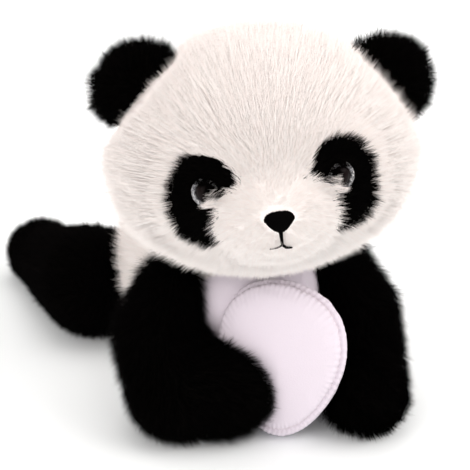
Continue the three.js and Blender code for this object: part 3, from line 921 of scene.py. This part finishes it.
TORSO_LAY, TORSO_LENGTH = [0.0, 1.0, -0.15], 13.0
COLLAR_LAY, COLLAR_LENGTH = [0.0, 0.5, -1.0], 15.0
BELLY_MARGIN = -2  # the body's fur reaches this far over the edge of the smooth panel
COLLAR_FRONT = 12  # the neck has fur only further back than this, clear of the chin and the belly


def in_belly(points, margin):
    """The smooth panel covers the chest and the underside between the arms."""
    x = points[:, 0] / (BELLY_HALF[0] + margin)
    y = (points[:, 1] - BELLY_MIDDLE) / (BELLY_HALF[1] + margin)
    low = points[:, 2] < BELLY_TOP - BELLY_SLOPE * points[:, 1]
    return (x**2 + y**2 < 1) & low


def make_torso():
    parts = along(TORSO_LINE, TORSO_RADII, 14, TORSO_WIDEN)
    cover = skin("torso_skin", parts, WHITE_SKIN, voxel=3.0, smoothing=8)
    rest_on_floor(cover)
    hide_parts("torso_cover")
    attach(cover, "torso")

    def rule(roots, normals):
        lay = np.tile(TORSO_LAY, (len(roots), 1))
        keep = ~in_belly(roots, BELLY_MARGIN) & off_floor(roots, normals)
        return keep, lay, np.full(len(roots), TORSO_LENGTH)

    grow("torso_fur", cover, "torso", rule, WHITE, BODY_HAIR, 61, LONG_WHITE)


def make_neck():
    egg_shape = egg(COLLAR_CENTRE, COLLAR_RADII)
    collar = skin("neck_skin", [egg_shape], WHITE_SKIN, voxel=3.0, smoothing=4)
    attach(collar, "neck")
    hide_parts("neck_core")

    def rule(roots, normals):
        lay = np.tile(COLLAR_LAY, (len(roots), 1))
        return roots[:, 1] > COLLAR_FRONT, lay, np.full(len(roots), COLLAR_LENGTH)

    grow("neck_fur", collar, "neck", rule, WHITE, BODY_HAIR, 62, LONG_WHITE)


def make_belly():
    """Smooth plush over the chest, with one soft fold beside the left arm."""
    parts = along(BELLY_LINE, BELLY_RADII, 6, TORSO_WIDEN)
    belly = skin("belly_skin", parts, PLUSH, voxel=2.5, smoothing=8)
    inflate(belly, pressure=2.0, most=1.5)
    place, normal = surface_of(belly)
    on_chest = smooth_step(place[:, 2], BELLY_FOLD["from"], BELLY_FOLD["to"])
    fold = swell(place[:, 0] - BELLY_FOLD["side"], BELLY_FOLD["width"]) * on_chest
    fold = fold * (place[:, 1] < BELLY_FOLD["rear"])
    move_to(belly, place + normal * fold[:, None] * BELLY_FOLD["height"])
    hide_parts("belly_panel")
    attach(belly, "torso")


# ---------------------------------------------------------------- pad

PAD_AXES = about_z(PAD_TURN) @ about_x(PAD_LEAN)
PAD_PROFILE = [  # radius as a share of the pad's, depth behind its widest plane
    (0.0, -8.4), (0.3, -8.4), (0.6, -8.6), (0.76, -8.3), (0.86, -7.2), (0.94, -5.2), (0.995, -2.6),
    (1.02, 0.0), (1.02, 2.6), (1.0, 5.2), (0.95, 7.8), (0.85, 10.0), (0.68, 11.4), (0.45, 12.0),
    (0.2, 12.2), (0.0, 12.2),
]


def pad_rim(turn, share=1.0):
    """A point on the pad's egg-shaped plan, as across and up."""
    up = PAD_RADIUS * share * np.sin(turn)
    across = PAD_RADIUS * share * np.cos(turn) * PAD_WIDTH * (1 + PAD_TAPER * up / PAD_RADIUS)
    return across, up


def to_pad(points):
    return (np.asarray(points) - PAD_CENTRE) @ PAD_AXES


def from_pad(points):
    return np.asarray(points) @ PAD_AXES.T + PAD_CENTRE


def pad_blank():
    """The pad before it gives way to the chest and paws."""
    around = 64
    points, faces, rings = [], [], []
    for share, depth in PAD_PROFILE:
        if share == 0:
            rings.append([len(points)] * around)
            points.append([0, depth, 0])
            continue
        rings.append(list(range(len(points), len(points) + around)))
        for k in range(around):
            across, up = pad_rim(2 * math.pi * k / around, share)
            points.append([across, depth, up])
    for low, high in zip(rings, rings[1:]):
        for k in range(around):
            n = (k + 1) % around
            faces.append(list(dict.fromkeys([low[n], low[k], high[k], high[n]])))
    return from_pad(points), faces


def seam_line(pad):
    """Where the seam's plane meets the pad's side, all the way round."""
    mesh = pad.data
    tree = BVHTree.FromPolygons([v.co for v in mesh.vertices], [p.vertices for p in mesh.polygons])
    spots = []
    for turn in np.arange(SEAM_POINTS) * 2 * math.pi / SEAM_POINTS:
        across, up = pad_rim(turn)
        depth = SEAM_DEPTH + SEAM_TILT * up / PAD_RADIUS
        start = (from_pad([0, depth, 0]) + SHIFT) * MM
        way = unit(from_pad([across, depth, up]) - from_pad([0, depth, 0]))
        hit = tree.ray_cast(Vector(start), Vector(way))[0]
        spots.append(np.array(hit) / MM - SHIFT - way * SEAM_SINK)
    return np.array(spots)


def gather_seam(pad):
    """Presses the seam in and puckers the fabric on both sides of it."""
    place, normal = surface_of(pad)
    own = to_pad(place)
    off = own[:, 1] - SEAM_DEPTH - SEAM_TILT * own[:, 2] / PAD_RADIUS
    turn = np.arctan2(own[:, 2], own[:, 0] / PAD_WIDTH)
    from_middle = np.hypot(own[:, 0] / PAD_WIDTH, own[:, 2])
    at_rim = smooth_step(from_middle, RIM_FROM, RIM_TO)
    pucker = np.sin(turn * PUCKERS + off * 0.5) * 0.7 + np.sin(turn * BEATS + 1) * 0.3
    press = SEAM_PRESS * swell(off, PRESS_WIDTH)
    press -= SEAM_RIDGE * swell(np.abs(off) - RIDGE_AWAY, RIDGE_WIDTH)
    ripple = SEAM_RIPPLE * pucker * swell(off, RIPPLE_WIDTH)
    move_to(pad, place + normal * ((ripple - press) * at_rim)[:, None])


def make_pad():
    pad = skin("pad_skin", [pad_blank()], PLUSH, voxel=3.0, smoothing=2)
    hollows = along(TORSO_LINE[:2], TORSO_RADII[:2], 6, TORSO_WIDEN)
    for name in ("arm_right", "arm_left"):
        hollows += limb_parts(name)
    hollow = skin("hollow", hollows, PLUSH, voxel=3.0, smoothing=2)
    carve = pad.modifiers.new("gives way", "BOOLEAN")
    carve.operation = "DIFFERENCE"
    carve.object = hollow
    even = pad.modifiers.new("even", "REMESH")
    even.mode = "VOXEL"
    even.voxel_size = 4 * MM
    applied(pad, PLUSH)
    bpy.data.objects.remove(hollow)
    inflate(pad, pressure=4.0, most=4.0)
    finer = pad.modifiers.new("finer", "SUBSURF")
    finer.levels = finer.render_levels = 3
    applied(pad, PLUSH)
    gather_seam(pad)
    rest_on_floor(pad, PAD_FLOOR_GAP)
    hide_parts("pad_front_panel", "pad_back_shell")
    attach(pad, "torso")
    make_seam(pad)


def make_seam(pad):
    """A cord of small stitches all round the pad."""
    beat = np.sin(np.arange(SEAM_POINTS) * math.pi * SEAM_STITCHES / SEAM_POINTS)
    stitches = SEAM_THIN + SEAM_SWELL * np.abs(beat)
    points, faces = thread(seam_line(pad), stitches, sides=10, closed=True)
    seam = rest_on_floor(mesh_object("pad_seam", points, faces, SEAM), PAD_FLOOR_GAP)
    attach(seam, "torso")


# ---------------------------------------------------------------- hidden parts


def finish_inside():
    """The filling and the eye washers inside the covers. The pad's filling has the pad's colour."""
    for name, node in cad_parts.items():
        if name.endswith("_stuffing"):
            node.material_slots[0].material = PLUSH if name.startswith("pad") else FILLING
        if name.startswith("eye_washer"):
            node.material_slots[0].material = WASHER


# ---------------------------------------------------------------- floor, light and camera

FLOOR_SIZE, FLOOR_TINT = 8, (0.94, 0.985, 1.0)  # metres
SKY_TINT, SKY_STRENGTH = (1.0, 0.95, 0.93, 1), 0.88
LIGHT_TINT, LIGHT_SIZE = (1.0, 0.95, 0.92), 1.2
LIGHTS = {  # place and target in metres, then watts
    "key": [(0.9, -0.8, 1.1), (0, -0.05, 0.1), 11.5],
    "fill": [(-0.9, -0.7, 0.6), (0, -0.05, 0.1), 5.5],
    "top": [(0.1, 0.3, 1.6), (0, 0, 0.1), 6.5],
}
CAMERA_AZIMUTH, CAMERA_HEIGHT = -21, 22  # degrees
CAMERA_AWAY = 900  # mm from the middle of the head
FRAME_WIDTH = 258.5  # mm seen across the picture at the head
AIM_RIGHT, AIM_DOWN = -14.85, 45.65  # mm from the head's middle to the picture's middle
SENSOR = 36  # mm


def make_room():
    bpy.ops.mesh.primitive_plane_add(size=FLOOR_SIZE)
    floor = bpy.context.object
    floor.name = "floor"
    floor.data.materials.append(paint("pale_floor", FLOOR_TINT, 0.9, specular=0.0))
    world = bpy.data.worlds.new("soft_studio")
    bpy.context.scene.world = world
    world.use_nodes = True
    sky = world.node_tree.nodes["Background"].inputs
    sky["Color"].default_value = SKY_TINT
    sky["Strength"].default_value = SKY_STRENGTH


def area_light(name, place, target, watts):
    data = bpy.data.lights.new(name, "AREA")
    data.shape = "DISK"
    data.size = LIGHT_SIZE
    data.energy = watts
    data.color = LIGHT_TINT
    lamp = bpy.data.objects.new(name, data)
    lamp.location = place
    lamp.rotation_euler = (Vector(target) - Vector(place)).to_track_quat("-Z", "Y").to_euler()
    bpy.context.scene.collection.objects.link(lamp)


def make_camera():
    azimuth, height = math.radians(CAMERA_AZIMUTH), math.radians(CAMERA_HEIGHT)
    level = math.cos(height)
    back = Vector((math.sin(azimuth) * level, -math.cos(azimuth) * level, math.sin(height)))
    data = bpy.data.cameras.new("camera")
    data.sensor_width = SENSOR
    data.lens = SENSOR * CAMERA_AWAY / FRAME_WIDTH
    data.shift_x = AIM_RIGHT / FRAME_WIDTH
    data.shift_y = -AIM_DOWN / FRAME_WIDTH
    data.clip_start, data.clip_end = 0.05, 20
    camera = bpy.data.objects.new("camera", data)
    middle = Vector(((HEAD_CENTRE + SHIFT) * MM).tolist())
    camera.location = middle + back * CAMERA_AWAY * MM
    camera.rotation_mode = "QUATERNION"
    camera.rotation_quaternion = back.to_track_quat("Z", "Y")
    bpy.context.scene.collection.objects.link(camera)
    bpy.context.scene.camera = camera


# ---------------------------------------------------------------- assembly

make_head()
for side in SIDES:
    make_ear(side)
    make_eye(side)
make_nose()
make_mouth()
make_torso()
make_neck()
make_belly()
for limb in LIMBS:
    make_limb(limb)
make_pad()
finish_inside()
make_room()
for name, (place, target, watts) in LIGHTS.items():
    area_light(name, place, target, watts)
make_camera()
bpy.context.scene.view_settings.view_transform = "Standard"
